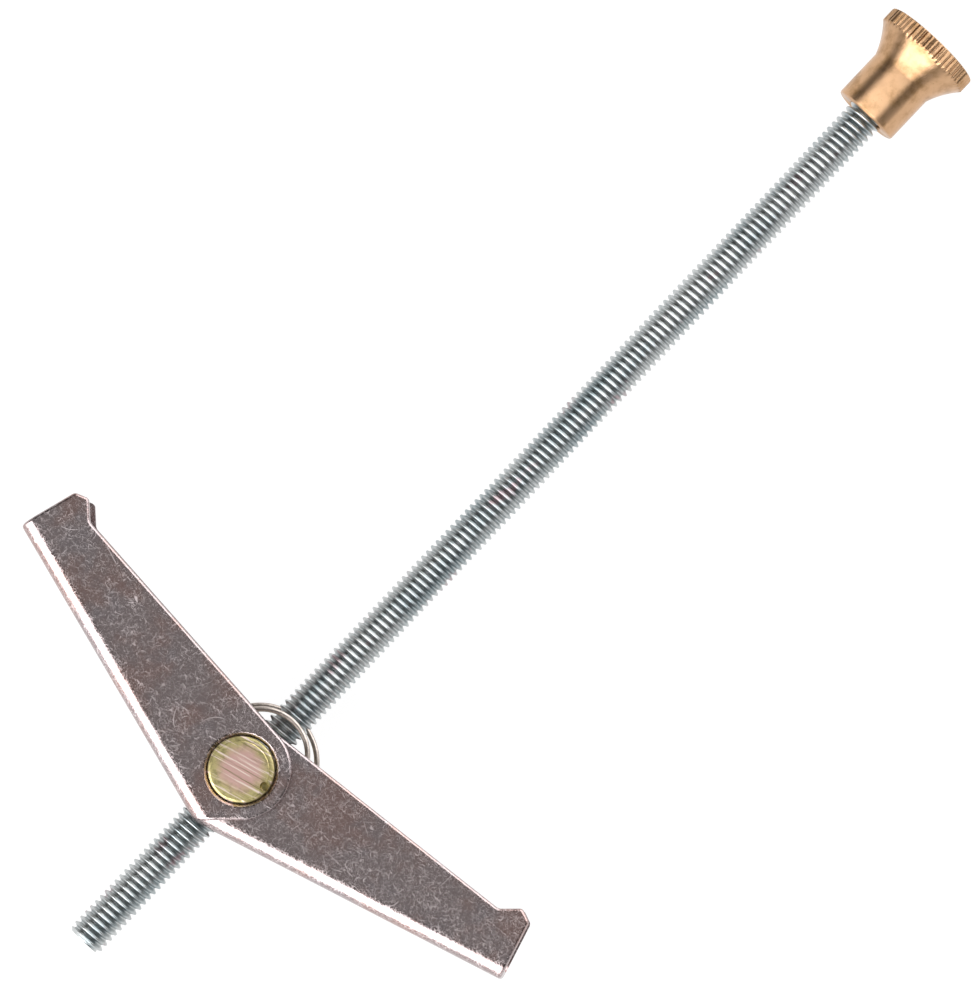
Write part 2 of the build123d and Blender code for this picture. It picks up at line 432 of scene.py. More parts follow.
def cut_flat(bm, y, side, end_bevel, crest_radius):
    """Cuts the rod off at y, closes it and bevels its crests there. side is the way out."""
    for depth, clear in ((0.0, True), (end_bevel, False)):
        bmesh.ops.bisect_plane(bm, geom=everything(bm), dist=TINY / 10, clear_outer=clear,
                               plane_co=(0, y - side * depth, 0), plane_no=(0, side, 0))
    rim = [e for e in bm.edges
           if e.is_boundary and all(abs(v.co.y - y) < TINY for v in e.verts)]
    bmesh.ops.contextual_create(bm, geom=rim)
    for v in bm.verts:
        depth = abs(v.co.y - y)
        radius = math.hypot(v.co.x, v.co.z)
        allowed = crest_radius - end_bevel + depth
        if depth < end_bevel and radius > allowed:
            v.co.x *= allowed / radius
            v.co.z *= allowed / radius


def rod_shape(sizes):
    low, high = drawn_box("threaded_rod")
    crest_radius = drawn_radius("threaded_rod")
    pitch, end_bevel = in_mm(sizes, "pitch", "end_bevel")
    bm = bmesh.new()
    chain(bm, [(0.0, low.y - pitch + along, radius)
               for along, radius in thread_profile(crest_radius, sizes)])
    spin_about(bm, everything(bm), (0, 1, 0), FULL_TURN, sizes.steps, rise=pitch)
    turns = 1
    while turns * pitch < high.y - low.y + 2 * pitch:
        copied = bmesh.ops.duplicate(bm, geom=everything(bm))["geom"]
        bmesh.ops.translate(bm, verts=[v for v in copied if isinstance(v, bmesh.types.BMVert)],
                            vec=(0, turns * pitch, 0))
        turns *= 2
    bmesh.ops.remove_doubles(bm, verts=bm.verts, dist=TINY)
    cut_flat(bm, low.y, -1, end_bevel, crest_radius)
    cut_flat(bm, high.y, 1, end_bevel, crest_radius)
    return bm


# ---- knurled nut ----

def arc_through(start, middle, end, steps):
    """Points of the round arc through three points in a plane, without its first point."""
    a, b, c = Vector(start), Vector(middle), Vector(end)
    ab, ac = b - a, c - a
    cross = 2 * (ab.x * ac.y - ab.y * ac.x)
    centre = a + Vector((ac.y * ab.length_squared - ab.y * ac.length_squared,
                         ab.x * ac.length_squared - ac.x * ab.length_squared)) / cross
    first, last = a - centre, c - centre
    turn = last.angle_signed(first)
    return [centre + Matrix.Rotation(turn * k / steps, 2) @ first for k in range(1, steps + 1)]


def nut_profile(sizes, low, high):
    """Closed outline from the bore's mouth round the neck, flare and rim: (radius, y)."""
    neck, neck_length, flare, edge, sink, gap = in_mm(
        sizes, "neck", "neck_length", "flare_length", "edge", "countersink", "bore_gap")
    neck_radius, rim_radius = neck / 2, drawn_radius("knurled_nut")
    bore = drawn_radius("threaded_rod") + gap
    flare_start = low.y + neck_length
    rim_start = flare_start + flare
    bow = (neck_radius + sizes.bow_out * (rim_radius - neck_radius),
           flare_start + sizes.bow_along * flare)
    points = [(bore, low.y + sink), (bore + sink, low.y), (neck_radius - edge, low.y),
              (neck_radius - edge / 3, low.y + edge / 4), (neck_radius, low.y + edge),
              (neck_radius, flare_start - edge / 2), (neck_radius, flare_start)]
    points += arc_through((neck_radius, flare_start), bow, (rim_radius, rim_start), FLARE_STEPS)
    points += [(rim_radius, rim_start + edge / 2), (rim_radius, high.y - edge),
               (rim_radius - edge / 4, high.y - edge / 3), (rim_radius - edge, high.y),
               (bore + sink, high.y), (bore, high.y - sink)]
    return points


def nut_shape(sizes):
    """Turned outline spun round the rod, then knurled where it reaches into the ridges' roots."""
    low, high = drawn_box("knurled_nut")
    bm = bmesh.new()
    verts = chain(bm, [(radius, y, 0.0) for radius, y in nut_profile(sizes, low, high)])
    bm.edges.new((verts[-1], verts[0]))
    steps = sizes.ridges * len(RIDGE_PROFILE)
    spin_about(bm, everything(bm), (0, 1, 0), FULL_TURN, steps, merge=True)
    draw = random.Random(RANDOM_SEED)
    strengths = [draw.uniform(*RIDGE_STRENGTHS) for _ in range(sizes.ridges)]
    rim_radius = drawn_radius("knurled_nut")
    depth = sizes.ridge_depth / MM
    for v in bm.verts:
        radius = math.hypot(v.co.x, v.co.z)
        step = round(math.atan2(v.co.x, v.co.z) / FULL_TURN * steps) % steps
        ridge, part = divmod(step, len(RIDGE_PROFILE))
        allowed = rim_radius - depth * strengths[ridge] * RIDGE_PROFILE[part]
        if radius > allowed:
            v.co.x *= allowed / radius
            v.co.z *= allowed / radius
    return bm


# ---- cross pin ----

def pin_shape(sizes):
    """Barrel with narrower ends, a cross hole for the rod and a punch mark on each end."""
    low, high = drawn_box("cross_pin")
    radius, half = drawn_radius("cross_pin"), (high.z - low.z) / 2
    edge, crown, step, step_depth, play, gap, stake, stake_depth = in_mm(
        sizes, "edge", "crown", "step", "step_depth", "step_play", "rod_gap", "stake_radius",
        "stake_depth")
    end_radius = radius - step
    rim, brow = half - crown, half - step_depth         # heights of the face's edge and the step
    inset = edge * (1 - math.sqrt(0.5))                 # the edge's rounding, at its middle
    slope = step * 0.8                                  # the barrel's own rounded shoulder
    top = [(0.0, half), ((end_radius - edge) / 2, half - crown / 4), (end_radius - edge, rim)]
    top += arc_through(top[-1], (end_radius - inset, rim - inset), (end_radius, rim - edge),
                       EDGE_STEPS)
    top += [(end_radius, brow), (radius - slope, brow),
            (radius - slope * 0.3, brow - slope * 0.3), (radius, brow - slope)]
    bm = turned(top + [(r, -z) for r, z in reversed(top)])
    ends = [v for v in bm.verts if abs(v.co.z) > brow - TINY
            and math.hypot(v.co.x, v.co.y) < end_radius + TINY]
    bmesh.ops.translate(bm, verts=ends, vec=(0, -play, 0))
    lying = Matrix.Rotation(math.radians(90), 4, "X")
    cutters = [round_bar(drawn_radius("threaded_rod") + gap, -FAR, FAR, lying)]
    for side in (-1, 1):
        turn = Matrix.Rotation(side * sizes.stake_angle, 4, "Z")
        shift = Matrix.Translation((side * (end_radius - stake / 4), -play, side * half))
        mark = round_bar(stake, -stake_depth, stake_depth, turn @ shift, segments=MARK_STEPS)
        round_sharp_edges(mark, stake / 4, 3)
        cutters.append(mark)
    return combined(bm, cutters)


# ---- wings ----

def cheek_outline(sizes):
    """Face with the cheek's outline: the pin's axis at the origin, tip at +X, web at +Y."""
    reach, web, head, ear_length, ear_slope, ear_rise, ear_drop = in_mm(
        sizes, "reach", "web", "head", "ear_length", "ear_slope", "ear_rise", "ear_drop")
    slope = math.tan(sizes.taper)
    start = Vector((head * math.sin(sizes.taper), -head * math.cos(sizes.taper)))
    root = Vector((reach - ear_length, start.y + (reach - ear_length - start.x) * slope))
    crest = root + Vector((ear_slope, ear_slope * slope - ear_rise))
    shoulder = Vector((reach, crest.y + ear_drop))
    corner = Vector((-web / math.tan(sizes.open_angle), web))
    heel_angle = math.atan2(corner.y, corner.x) + math.acos(head / corner.length)
    bm = bmesh.new()
    tip = Vector((reach, web))
    line = chain(bm, [p.to_3d() for p in (corner, tip, shoulder, crest, root, start)])
    sweep = math.radians(270) + sizes.taper - heel_angle
    last = spin_about(bm, [line[-1]], (0, 0, 1), -sweep, HEEL_STEPS)["geom_last"]
    heel = next(v for v in last if isinstance(v, bmesh.types.BMVert))
    bm.edges.new((heel, line[0]))
    bmesh.ops.contextual_create(bm, geom=bm.edges[:])
    return bm, (root, crest, shoulder)


def wing_shell(sizes, z0, z1):
    """The cheek's outline as thick as the wing is wide, with rounded ear and folded edges."""
    bm, ear = cheek_outline(sizes)
    bmesh.ops.translate(bm, verts=bm.verts, vec=(0, 0, z0))
    raised = bmesh.ops.extrude_face_region(bm, geom=bm.faces[:])["geom"]
    bmesh.ops.translate(bm, verts=[v for v in raised if isinstance(v, bmesh.types.BMVert)],
                        vec=(0, 0, z1 - z0))
    bmesh.ops.recalc_face_normals(bm, faces=bm.faces)
    web, bend, ear_round, edge = in_mm(sizes, "web", "bend", "ear_round", "edge")
    corners = edges_along(bm, (0, 0, 1),
                          lambda m: any((m.to_2d() - p).length < TINY for p in ear))
    bevel(bm, corners, ear_round * 0.6, 5)
    bevel(bm, edges_along(bm, (1, 0, 0), lambda m: abs(m.y - web) < TINY), bend, 12)
    round_sharp_edges(bm, edge, 4, limit=50.0)
    return bm


def wing_hollow(sizes, z0, z1):
    """What is taken out between the two cheeks."""
    sheet, web, bend = in_mm(sizes, "sheet", "web", "bend")
    hollow = block(-FAR, FAR, -FAR, web - sheet, z0 + sheet, z1 - sheet)
    bevel(hollow, edges_along(hollow, (1, 0, 0), lambda m: m.y > 0), bend - sheet, 8)
    return hollow


def web_slot(sizes):
    """Slot in the web's end that clears the rod."""
    sheet, web, gap = in_mm(sizes, "sheet", "web", "slot_gap")
    half = drawn_radius("threaded_rod") + gap
    end = (half - (web - sheet) * math.cos(sizes.open_angle)) / math.sin(sizes.open_angle)
    slot = block(-FAR, end, 0, FAR, -half, half)
    bevel(slot, edges_along(slot, (0, 1, 0), lambda m: abs(m.x - end) < TINY), half / 3, 5)
    return slot


def other_web_room(sizes, inner_face):
    """Where the inner cheek has to keep inside the other wing's web and bend."""
    sheet, web, bend, stop, nest = in_mm(sizes, "sheet", "web", "bend", "stop_gap", "nest_gap")
    bend_inner = bend - sheet
    room = web - bend + math.sqrt(bend_inner**2 - (bend_inner - nest) ** 2) - nest
    beyond = block(-stop, FAR, -FAR, FAR, -FAR, inner_face + nest / 2)
    web_side = block(-FAR, FAR, -FAR, -room, -FAR, FAR)
    turn = Matrix.Rotation(math.radians(90) - sizes.open_angle, 4, "Z")
    bmesh.ops.transform(web_side, matrix=turn, verts=web_side.verts)
    return combined(beyond, [web_side], "INTERSECT")


def flared_bore(radius, z0, z1, lip):
    """What a round hole takes out of both cheeks, with a rounded mouth on each outer face."""
    mouth = [(radius + lip * (1 - math.cos(t)), lip * (1 - math.sin(t)))
             for t in (math.radians(90 * k / EDGE_STEPS) for k in range(EDGE_STEPS + 1))]
    widest = radius + lip
    top = [(0.0, z1 + FAR), (widest, z1 + FAR)] + [(r, z1 - d) for r, d in reversed(mouth)]
    bottom = [(r, z0 + d) for r, d in mouth] + [(widest, z0 - FAR), (0.0, z0 - FAR)]
    return turned(top + bottom)


def wing_shape(sizes):
    """Left wing, folded from one sheet, with its outer cheek on top."""
    low, high = drawn_box("wing_left")
    hole_gap, lip, burr = in_mm(sizes, "hole_gap", "lip", "burr")
    shell = wing_shell(sizes, low.z, high.z)
    hole = flared_bore(drawn_radius("cross_pin") + hole_gap, low.z, high.z, lip)
    wing = combined(shell, [wing_hollow(sizes, low.z, high.z), hole, web_slot(sizes)])
    turn = Matrix.Rotation(math.radians(90) + sizes.open_angle, 4, "Z")
    bmesh.ops.transform(wing, matrix=turn, verts=wing.verts)
    wing = combined(wing, [other_web_room(sizes, -low.z)])
    bmesh.ops.recalc_face_normals(wing, faces=wing.faces)
    round_sharp_edges(wing, burr, 3)
    return wing


# ---- spring ----

def bent_path(points, radius, steps=6):
    """A path through points whose inner corners are rounded with tangent arcs."""
    path = [Vector(points[0])]
    for before, corner, after in zip(points, points[1:], points[2:]):
        corner = Vector(corner)
        back, ahead = (Vector(before) - corner).normalized(), (Vector(after) - corner).normalized()
        half = back.angle(ahead) / 2
        middle = corner + (back + ahead).normalized() * radius / math.sin(half)
        first = corner + back * radius / math.tan(half) - middle
        turn = math.pi - 2 * half
        axis = first.cross(corner - middle).normalized()
        for k in range(steps + 1):
            path.append(middle + Matrix.Rotation(turn * k / steps, 3, axis) @ first)
    return path + [Vector(points[-1])]


def half_loop(middle, radius, level, side):
    """A quarter turn from the top of a loop down to one side."""
    turns = (math.pi / 2 * k / LOOP_STEPS for k in range(LOOP_STEPS + 1))
    return [Vector((middle.x + side * radius * math.sin(t), middle.y + radius * math.cos(t),
                    level)) for t in turns]


def add_wire(bm, path, radius):
    """Adds a round wire along a path to a bmesh."""
    curve = bpy.data.curves.new("wire", "CURVE")
    curve.dimensions = "3D"
    curve.bevel_depth = radius
    curve.bevel_resolution = 4
    curve.use_fill_caps = True
    spline = curve.splines.new("POLY")
    spline.points.add(len(path) - 1)
    for point, co in zip(spline.points, path):
        point.co = (*co, 1.0)
    holder = linked("wire", curve)
    bpy.context.view_layer.update()
    mesh = bpy.data.meshes.new_from_object(holder)
    bm.from_mesh(mesh)
    bpy.data.objects.remove(holder)
    bpy.data.meshes.remove(mesh)
    bpy.data.curves.remove(curve)


class SpringLine:
    """Where the spring's wire runs, worked out from the wings that it presses on."""

    def __init__(self, spring, wing):
        self.wing = wing
        wire, gap = in_mm(spring, "wire", "gap")
        self.radius = wire / 2
        self.level = drawn_radius("threaded_rod") + gap + self.radius
        self.cheek_inside = self.level + self.radius + gap
        self.foot_gap, self.foot_length, self.foot_bend = in_mm(
            spring, "foot_gap", "foot_length", "foot_bend")
        self.near = Vector(spring.near_middle) / MM, spring.near_radius / MM
        self.far = Vector(spring.far_middle) / MM, spring.far_radius / MM

    def foot(self, loop, side):
        """The wire's corner on the web below one side of a loop, and its foot's end."""
        sheet, web, bend = in_mm(self.wing, "sheet", "web", "bend")
        lean = self.wing.open_angle
        along = Vector((side * math.sin(lean), math.cos(lean)))
        inward = Vector((-side * math.cos(lean), math.sin(lean)))
        corner_room = bend - sheet - self.radius - self.foot_gap
        corner_step = max(self.level - (self.cheek_inside - (bend - sheet)), 0)
        depth = web - bend + math.sqrt(corner_room**2 - corner_step**2)
        middle, radius = loop
        x = middle.x + side * radius
        corner = Vector((x, (-depth - x * inward.x) / inward.y))
        return corner, corner + along * self.foot_length

    def side(self, loop, level, side):
        """Half of a loop from the top down, the corner below it and its foot's end."""
        corner, end = self.foot(loop, side)
        return half_loop(*loop, level, side), Vector((*corner, level)), Vector((*end, level))

    def left(self):
        """The two separate wires of the left side."""
        paths = []
        for loop, level in ((self.near, self.level), (self.far, -self.level)):
            arc, corner, end = self.side(loop, level, -1)
            paths.append(arc[:-1] + bent_path([arc[-1], corner, end], self.foot_bend))
        return paths

    def right(self):
        """The one wire of the right side, joined across the web."""
        near_arc, near_corner, near_end = self.side(self.near, self.level, 1)
        far_arc, far_corner, _ = self.side(self.far, -self.level, 1)
        far_end = Vector((near_end.x, near_end.y, -self.level))
        feet = bent_path([near_arc[-1], near_corner, near_end, far_end, far_corner, far_arc[-1]],
                         self.foot_bend)
        return [near_arc[:-1] + feet + far_arc[-2::-1]]


def spring_shape(paths, radius):
    bm = bmesh.new()
    for path in paths:
        add_wire(bm, path, radius)
    return bm


# ---- material helpers ----

class Finish:
    """Builds one material's nodes. Its coordinates are in millimetres on the piece."""

    def __init__(self, name):
        self.material = bpy.data.materials.new(name)
        self.material.use_nodes = True
        self.tree = self.material.node_tree
        self.shader = self.tree.nodes["Principled BSDF"]
        self.shader.inputs["Metallic"].default_value = 1.0
        coords = self.add("ShaderNodeTexCoord").outputs["Object"]
        self.coords = self.vector("MULTIPLY", coords, (1 / MM,) * 3)

    def add(self, kind, inputs=None, **options):
        node = self.tree.nodes.new(kind)
        for name, value in options.items():
            setattr(node, name, value)
        for key, value in (inputs or {}).items():
            if isinstance(value, bpy.types.NodeSocket):
                self.tree.links.new(value, node.inputs[key])
            elif isinstance(key, str) and node.inputs[key].type == "RGBA":
                node.inputs[key].default_value = (*value, 1.0)
            else:
                node.inputs[key].default_value = value
        return node

    def vector(self, operation, a, b):
        return self.add("ShaderNodeVectorMath", {0: a, 1: b}, operation=operation).outputs[0]

    def math(self, operation, a, b=0.0, c=0.0):
        return self.add("ShaderNodeMath", {0: a, 1: b, 2: c}, operation=operation).outputs[0]

    def ramp(self, value, low, high, to_low=0.0, to_high=1.0):
        """A smooth step of a value from low to high."""
        inputs = {"Value": value, "From Min": low, "From Max": high,
                  "To Min": to_low, "To Max": to_high}
        node = self.add("ShaderNodeMapRange", inputs, interpolation_type="SMOOTHSTEP")
        return node.outputs["Result"]

    def noise(self, scale, detail, roughness, at=None):
        """Noise with features about 1/scale millimetres across."""
        inputs = {"Vector": at or self.coords, "Scale": scale, "Detail": detail,
                  "Roughness": roughness}
        return self.add("ShaderNodeTexNoise", inputs).outputs["Fac"]

    def stretched(self, factors, shift=(0.0, 0.0, 0.0)):
        """Coordinates multiplied and then shifted along each axis."""
        return self.vector("ADD", self.vector("MULTIPLY", self.coords, factors), shift)

    def mix(self, factor, a, b):
        """Colour a where the factor is 0, b where it is 1."""
        node = self.add("ShaderNodeMix", {"Factor": factor}, data_type="RGBA")
        for socket, value in (("A", a), ("B", b)):
            target = next(s for s in node.inputs if s.name == socket and s.type == "RGBA")
            if isinstance(value, bpy.types.NodeSocket):
                self.tree.links.new(value, target)
            else:
                target.default_value = (*value, 1.0)
        return next(s for s in node.outputs if s.type == "RGBA")

    def scratches(self, spacing, thickness, curl, shift):
        """Short curved hairlines in all directions, one for each cell of about that spacing."""
        moved = self.vector("ADD", self.coords, shift)
        cells = self.add("ShaderNodeTexVoronoi", {"Vector": moved, "Scale": 1 / spacing})
        local = self.vector("SUBTRACT", moved, cells.outputs["Position"])
        spin = self.vector("MULTIPLY", cells.outputs["Color"], (FULL_TURN,) * 3)
        turned = self.add("ShaderNodeVectorRotate", {"Vector": local, "Rotation": spin},
                          rotation_type="EULER_XYZ")
        parts = self.add("ShaderNodeSeparateXYZ", {0: turned.outputs[0]})
        bow = self.math("MULTIPLY", parts.outputs["X"], parts.outputs["X"])
        offset = self.math("MULTIPLY_ADD", bow, curl / spacing, parts.outputs["Y"])
        line = self.ramp(self.math("ABSOLUTE", offset), 0.0, thickness, 1.0, 0.0)
        reach = self.add("ShaderNodeVectorMath", {0: local}, operation="LENGTH").outputs["Value"]
        fade = self.ramp(reach, 0.3 * spacing, 0.62 * spacing, 1.0, 0.0)
        strength = self.add("ShaderNodeSeparateColor", {0: cells.outputs["Color"]}).outputs["Red"]
        return self.math("MULTIPLY", self.math("MULTIPLY", line, fade), strength)

    def web(self, scale, width, at):
        """Long wandering hairlines, where a noise passes through its middle."""
        level = self.noise(scale, 2.0, 0.55, at)
        line = self.math("ABSOLUTE", self.math("SUBTRACT", level, 0.5))
        broken = self.ramp(self.noise(scale * 1.6, 2.0, 0.6, at), 0.36, 0.56)
        return self.math("MULTIPLY", self.ramp(line, 0.0, width, 1.0, 0.0), broken)

    def bump(self, height, distance, strength, normal=None):
        """Relief of so many millimetres where the height is 1."""
        inputs = {"Height": height, "Distance": distance * MM, "Strength": strength}
        if normal is not None:
            inputs["Normal"] = normal
        return self.add("ShaderNodeBump", inputs).outputs["Normal"]

    def use(self, colour, roughness, normal):
        """The finished material."""
        for name, socket in (("Base Color", colour), ("Roughness", roughness), ("Normal", normal)):
            self.tree.links.new(socket, self.shader.inputs[name])
        return self.material


def darker(colour, factor):
    return tuple(factor * part for part in colour)


def bright_zinc(colours):
    """Blue-white zinc with a thin uneven film, drawn fine along the thread."""
    f = Finish("bright_zinc")
    film = f.ramp(f.noise(1.0, 3.0, 0.6, f.stretched((0.5, 0.09, 0.5))), 0.42, 0.68)
    base = f.mix(film, colours.rod, colours.rod_tint)
    blush = f.ramp(f.noise(0.8, 2.0, 0.5, f.stretched((0.6, 0.25, 0.6), (7, 3, 1))), 0.60, 0.72)
    base = f.mix(blush, base, colours.rod_blush)
    grain = f.noise(9.0, 3.0, 0.6)
    roughness = f.ramp(grain, 0.2, 0.8, *ROD_ROUGHNESS)
    return f.use(base, roughness, f.bump(grain, 0.006, 0.6))


def turned_brass(colours):
    """Satin brass with the lathe's fine rings, darker where it has tarnished."""
    f = Finish("brass")
    tarnish = f.ramp(f.noise(0.55, 4.0, 0.62), 0.40, 0.75)
    base = f.mix(tarnish, colours.brass, colours.brass_dark)
    specks = f.ramp(f.noise(5.0, 3.0, 0.7), 0.66, 0.74)
    base = f.mix(specks, base, colours.brass_dark)
    rings = f.noise(1.0, 4.0, 0.7, f.stretched((0.25, 14.0, 0.25)))
    roughness = f.ramp(f.noise(2.0, 3.0, 0.6), 0.2, 0.8, *BRASS_ROUGHNESS)
    f.shader.inputs["Anisotropic"].default_value = 0.97
    f.shader.inputs["Anisotropic Rotation"].default_value = 0.25
    tangent = f.add("ShaderNodeTangent", direction_type="RADIAL", axis="Y")
    f.tree.links.new(tangent.outputs[0], f.shader.inputs["Tangent"])
    return f.use(base, roughness, f.bump(rings, 0.012, 0.7))


def yellow_zinc(colours):
    """Yellow film with a pink middle, scored by sawing lines across the pin's ends."""
    f = Finish("yellow_zinc")
    f.shader.inputs["Metallic"].default_value = 0.75
    centre = f.vector("SUBTRACT", f.coords, tuple(PIN_MIDDLE / MM))
    flat = f.vector("MULTIPLY", centre, (1.0, 1.0, 0.0))
    reach = f.add("ShaderNodeVectorMath", {0: flat}, operation="LENGTH").outputs["Value"]
    cloud = f.noise(0.9, 3.0, 0.6)
    middle = f.ramp(f.math("MULTIPLY_ADD", cloud, 1.6, reach), 2.1, 3.6, 1.0, 0.0)
    across = f.add("ShaderNodeVectorRotate", {"Vector": centre, "Angle": SAW_ANGLE},
                   rotation_type="Z_AXIS").outputs[0]
    streaks = f.noise(1.0, 3.0, 0.65, f.vector("MULTIPLY", across, (0.13, 3.6, 1.0)))
    patches = f.ramp(f.noise(1.9, 3.0, 0.65), 0.46, 0.66)
    base = f.mix(patches, colours.pin, darker(colours.pin, 0.62))
    base = f.mix(middle, base, colours.pin_blush)
    base = f.mix(f.ramp(streaks, 0.54, 0.62), base, colours.pin_score)
    base = f.mix(f.ramp(streaks, 0.42, 0.30), base, colours.pin_groove)
    roughness = f.ramp(streaks, 0.3, 0.7, *PIN_ROUGHNESS)
    return f.use(base, roughness, f.bump(streaks, 0.03, 0.7))


def scratch_net(f):
    """Short scratches in three sizes, with long hairlines in three sizes across them."""
    net = None
    for k, spacing in enumerate((2.6, 1.0, 0.7)):
        layer = f.scratches(spacing, SCRATCH_WIDTH, 0.5 + 0.4 * k, (3.1 * k, 5.7 * k, 1.3 * k))
        net = layer if net is None else f.math("MAXIMUM", net, layer)
    for k, scale in enumerate((0.8, 1.5, 2.4)):
        at = f.stretched((1, 1, 1), (11 * k, 5 * k, 23 * k))
        hairs = f.math("MULTIPLY", f.web(scale, 0.013 + 0.004 * k, at), HAIRLINE_STRENGTH)
        net = f.math("MAXIMUM", net, hairs)
    return net


def dull_zinc(colours):
    """Dark brownish mirror of tumbled zinc under a dense net of fine scratches, painted light as
    glint.
    """
    f = Finish("dull_zinc")
    brown = f.ramp(f.noise(0.16, 3.0, 0.6), 0.42, 0.60)
    grey = f.ramp(f.noise(0.22, 3.0, 0.6, f.stretched((1, 1, 1), (31, 17, 5))), 0.50, 0.72)
    base = f.mix(brown, colours.wing, colours.wing_brown)
    base = f.mix(grey, base, colours.wing_grey)
    net = scratch_net(f)
    specks = f.ramp(f.noise(4.6, 4.0, 0.85), 0.42, 0.74)
    worn_at = f.stretched((1, 1, 1), (3, 41, 9))
    worn = f.ramp(f.noise(0.35, 3.0, 0.6, worn_at), 0.35, 0.65, 0.72, 1.0)
    marks_and_glint = f.math("MAXIMUM", net, f.math("MULTIPLY", specks, SPECK_STRENGTH))
    marks_and_glint = f.math("MULTIPLY", marks_and_glint, worn)
    # Scratches and specks lightened in colour: real marks with a painted glint on them
    base = f.mix(f.math("MULTIPLY", marks_and_glint, 0.8), base, colours.wing_scratch_glint)
    roughness = f.ramp(marks_and_glint, 0.0, 0.8, *WING_ROUGHNESS)
    waves = f.bump(f.noise(1.1, 4.0, 0.6), 0.06, 0.6)
    return f.use(base, roughness, f.bump(marks_and_glint, 0.012, 0.5, waves))


def spring_wire(colours):
    """Warm grey drawn wire with faint clouds and a fine grain."""
    f = Finish("spring_wire")
    cloud = f.ramp(f.noise(2.2, 3.0, 0.6), 0.3, 0.7)
    base = f.mix(cloud, colours.wire, darker(colours.wire, 0.72))
    grain = f.noise(14.0, 2.0, 0.6)
    roughness = f.ramp(grain, 0.2, 0.8, *WIRE_ROUGHNESS)
    return f.use(base, roughness, f.bump(grain, 0.006, 0.6))


# ---- stage ----

def place_camera(stage):
    """Looks down on the bolt, with the rod rising to the upper right."""
    data = bpy.data.cameras.new("camera")
    camera = linked("camera", data)
    data.sensor_fit = "HORIZONTAL"
    data.sensor_width = 36.0
    data.lens = stage.lens
    data.clip_start = 0.01
    data.clip_end = 20.0
    eye = PIN_MIDDLE + Vector(stage.camera)
    back = (eye - PIN_MIDDLE - Vector(stage.target)).normalized()
    rod = Vector((0, 1, 0)) - back * back.y
    rod.normalize()
    right = rod * math.cos(stage.rod_slope) + rod.cross(back) * math.sin(stage.rod_slope)
    up = back.cross(right)
    turn = Matrix((right, up, back)).transposed().to_4x4()
    camera.matrix_world = Matrix.Translation(eye) @ turn
    bpy.context.scene.camera = camera


def soft_lamp(name, azimuth, elevation, distance, width, height, radiance):
    """A rectangular lamp that faces the bolt. Azimuth 0 is on the -Y side, 90 on the +X side."""
    data = bpy.data.lights.new(name, "AREA")
    data.shape = "RECTANGLE"
    data.size = width
    data.size_y = height
    data.energy = radiance * math.pi * width * height
    lamp = linked(name, data)
    a, e = math.radians(azimuth), math.radians(elevation)
    out = Vector((math.sin(a) * math.cos(e), -math.cos(a) * math.cos(e), math.sin(e)))
    low, high = cad_box
    lamp.location = (low + high) / 2 + out * distance
    lamp.rotation_euler = out.to_track_quat("Z", "Y").to_euler()
    lamp.visible_camera = False


def set_world():
    """A white backdrop all round, a dark sky above it and a paler ceiling overhead."""
    world = bpy.data.worlds.new("studio")
    bpy.context.scene.world = world
    world.use_nodes = True
    tree = world.node_tree
    coords = tree.nodes.new("ShaderNodeTexCoord")
    parts = tree.nodes.new("ShaderNodeSeparateXYZ")
    tree.links.new(coords.outputs["Generated"], parts.inputs[0])
    levels = tree.nodes.new("ShaderNodeValToRGB")
    levels.color_ramp.interpolation = "EASE"
    while len(levels.color_ramp.elements) < len(SURROUND):
        levels.color_ramp.elements.new(1.0)
    for element, (height, level) in zip(levels.color_ramp.elements, SURROUND):
        element.position = height
        element.color = (level, level, level, 1.0)
    tree.links.new(parts.outputs["Z"], levels.inputs[0])
    tree.links.new(levels.outputs["Color"], tree.nodes["Background"].inputs["Color"])


def floor_material(colour):
    """Matt pale floor that looks white and keeps a soft shadow."""
    f = Finish("floor")
    for name, value in (("Base Color", (*colour, 1.0)), ("Metallic", 0.0), ("Roughness", 0.9),
                        ("Specular IOR Level", 0.0)):
        f.shader.inputs[name].default_value = value
    glow = f.add("ShaderNodeEmission", {"Strength": FLOOR_GLOW})
    path = f.add("ShaderNodeLightPath")
    seen = path.outputs["Is Camera Ray"]
    for kind in ("Is Glossy Ray", "Is Transmission Ray"):
        seen = f.math("MAXIMUM", seen, path.outputs[kind])
    both = f.add("ShaderNodeMixShader", {0: f.math("MULTIPLY", seen, FLOOR_GLOW_SHARE),
                                         1: f.shader.outputs[0], 2: glow.outputs[0]})
    f.tree.links.new(both.outputs[0], f.tree.nodes["Material Output"].inputs["Surface"])
    return f.material


def lay_floor(stage):
    bm = bmesh.new()
    bmesh.ops.create_grid(bm, x_segments=1, y_segments=1, size=FLOOR_REACH)
    floor = in_scene("floor", bm)
    floor.data.materials.append(floor_material(stage.floor))


# ---- operators ----

class TOGGLE_OT_stage(bpy.types.Operator):
    """Set up the camera, lamps, surround and floor"""
    bl_idname = "toggle_bolt.stage"
    bl_label = "Stage"

    def execute(self, context):
        stage = settings().stage
        place_camera(stage)
        set_world()
        lay_floor(stage)
        for name, lamp in LAMPS.items():
            soft_lamp(name, *lamp)
        context.scene.view_settings.view_transform = "Standard"
        return {"FINISHED"}


class TOGGLE_OT_rod(bpy.types.Operator):
    """Model the threaded rod"""
    bl_idname = "toggle_bolt.rod"
    bl_label = "Threaded Rod"

    def execute(self, context):
        s = settings()
        rod = finished_piece("threaded_rod_body", rod_shape(s.rod), bright_zinc(s.finishes),
                             ["threaded_rod"], sharp=70.0)
        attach(rod, "rod")
        return {"FINISHED"}


class TOGGLE_OT_nut(bpy.types.Operator):
    """Model the knurled nut"""
    bl_idname = "toggle_bolt.nut"
    bl_label = "Knurled Nut"

    def execute(self, context):
        s = settings()
        nut = finished_piece("knurled_nut_body", nut_shape(s.nut), turned_brass(s.finishes),
                             ["knurled_nut"], sharp=28.0)
        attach(nut, "nut")
        return {"FINISHED"}


